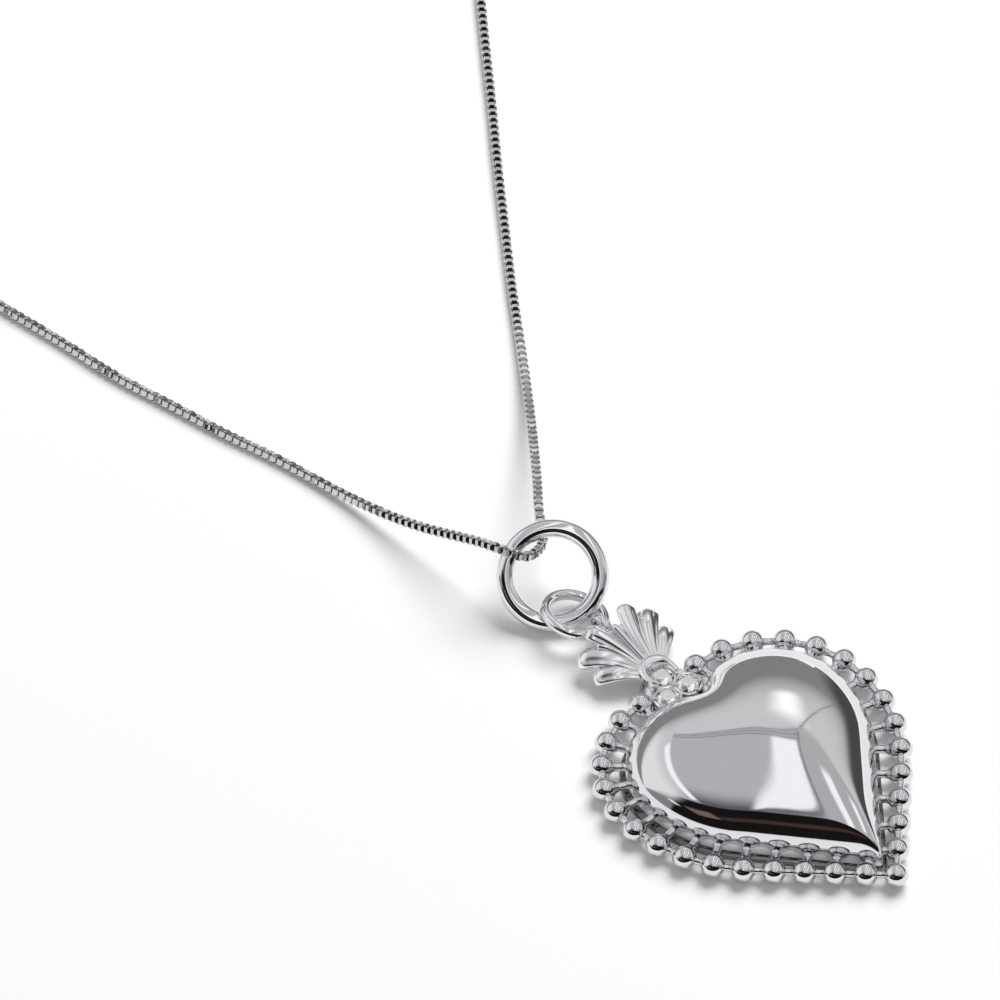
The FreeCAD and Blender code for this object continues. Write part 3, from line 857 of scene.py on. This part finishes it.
def link_form():
    """One box link: a square loop of flat band, its long side along X and its loop in the XZ plane."""
    half_t, half_w = LINK_THICKNESS / 2, LINK_BAND / 2
    section = [(half_t, LINK_EDGE - half_w), (half_t, half_w - LINK_EDGE), (0, half_w),
               (-half_t, half_w - LINK_EDGE), (-half_t, LINK_EDGE - half_w), (0, -half_w)]
    a, b, c = LINK_LENGTH / 2 - half_t, CHAIN_WIDTH / 2 - half_t, LINK_CHAMFER
    corners = [(a, c - b), (a, b - c), (a - c, b), (c - a, b),
               (-a, b - c), (-a, c - b), (c - a, -b), (a - c, -b)]
    verts = []
    for i, (x, z) in enumerate(corners):
        before, after = corners[i - 1], corners[(i + 1) % len(corners)]
        along = unit((after[0] - before[0], after[1] - before[1]))
        verts += [(x + along[1] * t, w, z - along[0] * t) for t, w in section]
    faces = [(p, s, r, q) for p, q, r, s in ring_faces(len(corners), len(section))]
    return np.array(verts), faces


def box_chain(name, line, first_turn, body, material, shadow, nodes):
    """Box links along the line, every second one turned a quarter, round a core that is painted shade."""
    count = int((lengths_along(line)[-1] - LINK_PITCH / 2) / LINK_PITCH) + 1
    centres = points_at(line, LINK_PITCH / 2 + np.arange(count) * LINK_PITCH)
    tangent, side, up = frames_along(centres)
    verts, faces = link_form()
    chain = Shape()
    chain.tube(centres, CORE_RADIUS, sides=8, round_ends=False)
    core_faces = len(chain.faces)
    play = np.random.default_rng(LINK_SEED)
    for i in range(count):
        turn = math.radians(90 * ((i + first_turn) % 2)) + play.normal(0, LINK_PLAY)
        s = math.cos(turn) * side[i] + math.sin(turn) * up[i]
        u = np.cross(tangent[i], s)
        chain.add(centres[i] + verts[:, :1] * tangent[i] + verts[:, 1:2] * s + verts[:, 2:] * u, faces)
    made = chain.make(name, body, material, nodes, sharp=30)
    add_second_material(made, shadow, slice(core_faces))
    return made


def coil_tie(name, coil, turn, body, material):
    """A fine wire tie round the bundle."""
    centre, outward = flat_pair(coil)
    angle = math.atan2(outward[1], outward[0]) + math.radians(turn)
    out = np.array([math.cos(angle), math.sin(angle), 0])
    across = np.array([-out[1], out[0], 0])
    base = centre + (0, 0, COIL_MID_HEIGHT) + out * COIL_MIDDLE
    circle = around(np.array([1, 0]), np.array([0, 1]), 48)
    bend = np.copysign(np.abs(circle) ** TIE_SQUARENESS, circle) * (TIE_HALF_WIDTH, TIE_HALF_HEIGHT)
    tie = Shape()
    for offset in TIE_OFFSETS:
        loop = base + bend[:, :1] * out + bend[:, 1:] * (0, 0, 1) + across * offset
        tie.tube(np.vstack([loop, loop[:2]]), TIE_WIRE, sides=8, first_up=across, round_ends=False)
    return tie.make(name, body, material)


def crimp(name, end, seat, body, material):
    """A small turned end cap that joins the chain's last links to its end piece."""
    shares, radii = zip(*CAP_PROFILE)
    cap = Shape()
    cap.tube([end + (seat - end) * share for share in shares], radii, sides=24)
    return cap.make(name, body, material)


def clasp(body, material):
    """Hook of round wire with an eye. Returns it and the place where the chain's end cap meets it."""
    centre, outward = flat_pair(LEFT_COIL)
    across = np.array([-outward[1], outward[0], 0])
    eye = centre + outward * (COIL_MIDDLE + COIL_HALF_WIDTH + PIECE_GAP + HOOK_EYE_RADIUS + HOOK_WIRE)
    eye[2] = HOOK_WIRE
    shank = eye + outward * HOOK_EYE_RADIUS
    end = shank + outward * HOOK_SHANK
    path = list(np.linspace(shank, end, 14))
    for a in np.radians(np.linspace(0, 180, 30))[1:]:
        path.append(end + HOOK_BEND_RADIUS * (outward * math.sin(a) + across * (1 - math.cos(a))))
    path += list(np.linspace(path[-1], path[-1] - outward * HOOK_RETURN, 8))[1:]
    wire = np.full(len(path), HOOK_WIRE)
    wire[-len(HOOK_TAPER):] *= HOOK_TAPER
    hook = Shape()
    hook.tube(path, wire, sides=24)
    hook.torus(eye, (0, 0, 1), HOOK_EYE_RADIUS, HOOK_WIRE, 72, 24)
    seat = eye - outward * (HOOK_EYE_RADIUS + HOOK_WIRE * 0.5)
    return hook.make("clasp", body, material, ["clasp_hook"]), seat


def last_ring(body, material):
    """Ring for the hook. Returns it and the place where the chain's end cap meets it."""
    centre, outward = flat_pair(TOP_COIL)
    middle = centre + outward * (COIL_MIDDLE + COIL_HALF_WIDTH + PIECE_GAP + END_RING_RADIUS + END_RING_WIRE)
    middle[2] = END_RING_WIRE
    loop = Shape()
    loop.torus(middle, (0, 0, 1), END_RING_RADIUS, END_RING_WIRE, 96, 28)
    seat = middle - outward * (END_RING_RADIUS + END_RING_WIRE * 0.5)
    return loop.make("end_loop", body, material, ["end_ring"]), seat


def half_chain(name, route, coil, end_piece, first_turn, nodes, links, painted_shade_core, wire):
    """One half of the chain: the run that shows, its tied coil and its end piece."""
    fitting, seat = end_piece
    run = lengths_along(smooth_line(name, route))[-1]
    turns = (CHAIN_LENGTH - run - COIL_TO_FITTING) / (2 * math.pi * sum(COIL_RADII) / len(COIL_RADII))
    turns = min(math.floor(turns - COIL_EXIT) + COIL_EXIT, COIL_MOST_TURNS)
    points = list(route) + coil_points(coil, turns)
    last = np.array(points[-1])
    points.append(tuple(last + (seat - last) * 0.35 + (0, 0, 0.05)))
    stop = seat - flat_pair(coil)[1] * 0.55
    stop[2] = 0.75
    points.append(tuple(stop))
    line = smooth_line(name, points)
    made = box_chain(f"chain_{name}", line, first_turn, ROOT, links, painted_shade_core, nodes)
    end_cap = crimp(f"end_cap_{name}", line[-1], seat, ROOT, wire)
    tie = [coil_tie(f"tie_{name}_{i}", coil, turn, ROOT, links) for i, turn in enumerate(TIE_TURNS)]


# Studio
def view_axes():
    """Right, up and forward as the photograph sees them."""
    e, a = math.radians(VIEW_ELEVATION), math.radians(-VIEW_AZIMUTH)
    forward = np.array([math.sin(a) * math.cos(e), math.cos(a) * math.cos(e), -math.sin(e)])
    right = np.array([math.cos(a), -math.sin(a), 0.0])
    return right, np.cross(right, forward), forward


def camera():
    """The photograph's camera, a long lens from far away."""
    _, _, forward = view_axes()
    data = bpy.data.cameras.new("camera")
    data.sensor_width = SENSOR
    data.lens = SENSOR * VIEW_DISTANCE / VIEW_WIDTH
    data.clip_start = 0.1
    data.clip_end = 20.0
    made = added("camera", data)
    made.rotation_mode = "QUATERNION"
    made.rotation_quaternion = Vector(forward).to_track_quat("-Z", "Y")
    made.location = Vector((np.array(VIEW_TARGET) - forward * VIEW_DISTANCE) * MM)
    bpy.context.scene.camera = made


def maths(tree, operation, a, b):
    """A Math node on two numbers or outputs."""
    node = new_node(tree, "Math")
    node.operation = operation
    for entry, value in zip(node.inputs, (a, b)):
        if isinstance(value, (int, float)):
            entry.default_value = value
        else:
            tree.links.new(value, entry)
    return node.outputs[0]


def seen_directly(tree):
    """1 for what the camera, a reflection or a look through a stone shows."""
    path = new_node(tree, "LightPath")
    seen = maths(tree, "MAXIMUM", path.outputs["Is Camera Ray"], path.outputs["Is Glossy Ray"])
    return maths(tree, "MAXIMUM", seen, path.outputs["Is Transmission Ray"])


def stage_material(name):
    material = bpy.data.materials.new(name)
    material.use_nodes = True
    return material, material.node_tree


def floor():
    """White paper. What is seen of it directly is lifted a little, to the photograph's white."""
    mesh = bpy.data.meshes.new("floor")
    s = FLOOR_HALF
    mesh.from_pydata([(-s, -s, 0), (s, -s, 0), (s, s, 0), (-s, s, 0)], [], [(0, 1, 2, 3)])
    material, tree = stage_material("paper")
    shader = tree.nodes["Principled BSDF"]
    shader.inputs["Base Color"].default_value = (*FLOOR_TONE, 1)
    shader.inputs["Roughness"].default_value = 0.9
    shader.inputs["Specular IOR Level"].default_value = 0.0
    shader.inputs["Emission Color"].default_value = (1, 1, 1, 1)
    lift = maths(tree, "MULTIPLY", seen_directly(tree), FLOOR_LIFT)
    tree.links.new(lift, shader.inputs["Emission Strength"])
    mesh.materials.append(material)
    added("floor", mesh)


def ramp(tree, source, start, full):
    """0 at start and 1 at full, smooth between; full may be the lower one."""
    flip = start > full
    node = new_node(tree, "MapRange", From_Min=min(start, full), From_Max=max(start, full),
                    To_Min=1.0 if flip else 0.0, To_Max=0.0 if flip else 1.0)
    node.interpolation_type = "SMOOTHSTEP"
    tree.links.new(source, node.inputs["Value"])
    return node.outputs["Result"]


def background():
    """A plain white surround, which the camera, metal and stones see where nothing else stands."""
    world = bpy.data.worlds.new("surround")
    world.use_nodes = True
    bpy.context.scene.world = world
    tree = world.node_tree
    surround = tree.nodes["Background"]
    surround.inputs["Color"].default_value = (1, 1, 1, 1)
    tree.links.new(maths(tree, "MAXIMUM", seen_directly(tree), BACK_LIGHT), surround.inputs["Strength"])


def tent_mesh():
    """A hemisphere over the table."""
    turns = np.linspace(0, 2 * math.pi, TENT_COLUMNS, endpoint=False)
    verts = [(math.cos(a) * math.cos(h), math.sin(a) * math.cos(h), math.sin(h))
             for h in np.radians(np.linspace(0, 89.5, TENT_ROWS)) for a in turns]
    top = range((TENT_ROWS - 1) * TENT_COLUMNS, TENT_ROWS * TENT_COLUMNS)
    mesh = bpy.data.meshes.new("light_tent")
    mesh.from_pydata([tuple(TENT_RADIUS * c for c in v) for v in verts], [],
                     strip_faces(TENT_ROWS, TENT_COLUMNS) + [tuple(top)])
    return mesh


def studio_lines(tree):
    """Measures of the direction in which a point of the tent lies, by name."""
    place = new_node(tree, "TexCoord")
    toward = new_node(tree, "VectorMath")
    toward.operation = "NORMALIZE"
    join(tree, (place, "Object", toward, 0))
    right, _, forward = view_axes()
    far = unit((forward[0], forward[1], 0))

    def along(axis):
        node = new_node(tree, "VectorMath")
        node.operation = "DOT_PRODUCT"
        node.inputs[1].default_value = tuple(axis)
        join(tree, (toward, "Vector", node, 0))
        return node.outputs["Value"]

    height = along((0, 0, 1))
    level = maths(tree, "MAXIMUM", height, 0.02)
    across = maths(tree, "DIVIDE", along(right), level)
    depth = maths(tree, "DIVIDE", along(far), level)
    lines = {"height": height, "sideways": along(unit(SIDE_BEARING[0] * right + SIDE_BEARING[1] * far))}
    for name, (a, b) in CEILING_LINES.items():
        parts = maths(tree, "MULTIPLY", across, a), maths(tree, "MULTIPLY", depth, b)
        lines[name] = maths(tree, "ADD", *parts)
    aside = maths(tree, "ABSOLUTE", maths(tree, "SUBTRACT", across, SAG_MIDDLE), 0.0)
    sag = maths(tree, "MULTIPLY", maths(tree, "POWER", aside, 2.0), SAG)
    lines["sagged"] = maths(tree, "SUBTRACT", depth, sag)
    return lines


def studio():
    """The light tent round the table, by direction: a grey ceiling panel with seams and bright strips, grey
    walls on the far side and a dark opening with warm patches on the near side. Like a lamp, it isn't seen
    by the camera."""
    material, tree = stage_material("tent")
    material.cycles.emission_sampling = "NONE"
    tree.nodes.clear()
    lines = studio_lines(tree)
    known = {}

    def where(conditions):
        """1 where every condition holds. A mask that is already in the tree is used again."""
        if conditions not in known:
            name, low, high, *soft = conditions[-1]
            if soft:
                mask = maths(tree, "MULTIPLY", ramp(tree, lines[name], low - soft[0], low + soft[0]),
                             ramp(tree, lines[name], high + soft[0], high - soft[0]))
            else:
                mask = ramp(tree, lines[name], low, high)
            if conditions[:-1]:
                mask = maths(tree, "MULTIPLY", where(conditions[:-1]), mask)
            known[conditions] = mask
        return known[conditions]

    base = new_node(tree, "RGB")
    base.outputs[0].default_value = (*WALL, 1)
    shade = base.outputs[0]
    for tone, *conditions in STUDIO:
        layer = new_node(tree, "Mix")
        layer.data_type = "RGBA"
        layer.inputs[MIX_B].default_value = (*tone, 1)
        tree.links.new(where(tuple(conditions)), layer.inputs[MIX_FACTOR])
        tree.links.new(shade, layer.inputs[MIX_A])
        shade = layer.outputs[MIX_COLOUR]
    path = new_node(tree, "LightPath")
    dim = maths(tree, "MULTIPLY", path.outputs["Is Diffuse Ray"], 1.0 - BACK_LIGHT)
    light = new_node(tree, "Emission")
    tree.links.new(maths(tree, "SUBTRACT", 1.0, dim), light.inputs["Strength"])
    tree.links.new(shade, light.inputs["Color"])
    join(tree, (light, 0, new_node(tree, "OutputMaterial"), "Surface"))
    mesh = tent_mesh()
    mesh.materials.append(material)
    tent = added("light_tent", mesh)
    tent.visible_camera = False
    tent.visible_shadow = False


def lamp(name, direction, distance, size_x, size_y, energy):
    """A soft box that looks at the object."""
    data = bpy.data.lights.new(name, "AREA")
    data.shape = "RECTANGLE"
    data.size = size_x
    data.size_y = size_y
    data.energy = energy
    made = added(name, data)
    towards = unit(direction)
    made.location = Vector(towards * distance)
    made.rotation_mode = "QUATERNION"
    made.rotation_quaternion = Vector(-towards).to_track_quat("-Z", "Y")
    made.visible_glossy = False


def main():
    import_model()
    polished = silver("polished_silver", (0.78, 0.78, 0.79), (0.73, 0.73, 0.75), 0.03, 0.07, 0.25, 0.05)
    # Dark silver on the ledge under the shell: painted shade for the dark gaps between the stems
    painted_shade_ledge = silver("polished_silver", (0.30, 0.29, 0.285), (0.16, 0.155, 0.15), 0.12, 0.3, 0.4, 0.08)
    satin = silver("polished_silver", (0.93, 0.93, 0.94), (0.84, 0.84, 0.85), 0.12, 0.2, 0.4, 0.08)
    wire = silver("silver_wire", (0.86, 0.86, 0.87), (0.76, 0.76, 0.78), 0.04, 0.09, 0.4, 0.06)
    chain = silver("silver_chain", (0.70, 0.70, 0.71), (0.50, 0.50, 0.51), 0.07, 0.16, 0.5, 0.05)
    # Near-black for the chain's core: painted shade inside the hollow box links
    painted_shade_core = silver("silver_chain", (0.05, 0.048, 0.046), (0.02, 0.02, 0.02), 0.3, 0.5, 0.4, 0.05)
    stone = clear_stone()

    heart_shell(HEART, polished, painted_shade_ledge)
    bead_row(HEART, polished)
    setting(HEART, satin)
    collar(HEART, satin)
    flame(HEART, satin)
    eyelet(HEART, polished)
    for name, centre in stone_centres().items():
        brilliant(name, centre, HEART, stone)
    jump_ring("small_ring_wire", SMALL_RING_CENTRE, SMALL_RING_NORMAL, SMALL_RING_RADIUS, SMALL_RING_WIRE,
              SMALL_RING, wire, "small_jump_ring", 160, 40)
    jump_ring("large_ring_wire", LARGE_RING_CENTRE, LARGE_RING_NORMAL, LARGE_RING_RADIUS, LARGE_RING_WIRE,
              ROOT, wire, "large_jump_ring", 200, 48)
    hook = clasp(ROOT, wire)
    loop = last_ring(ROOT, wire)
    half_chain("top", TOP_ROUTE, TOP_COIL, loop, 0, ["chain_top_run", "chain_top_coil"], chain, painted_shade_core, wire)
    half_chain("left", LEFT_ROUTE, LEFT_COIL, hook, 1, ["chain_left_run", "chain_left_coil"], chain, painted_shade_core,
               wire)

    camera()
    floor()
    background()
    studio()
    lamp("soft_box", (0.593, 0.201, 0.78), 1.5, 1.1, 0.95, 24.0)
    scene = bpy.context.scene
    scene.view_settings.view_transform = "Standard"
    bpy.context.view_layer.update()


main()
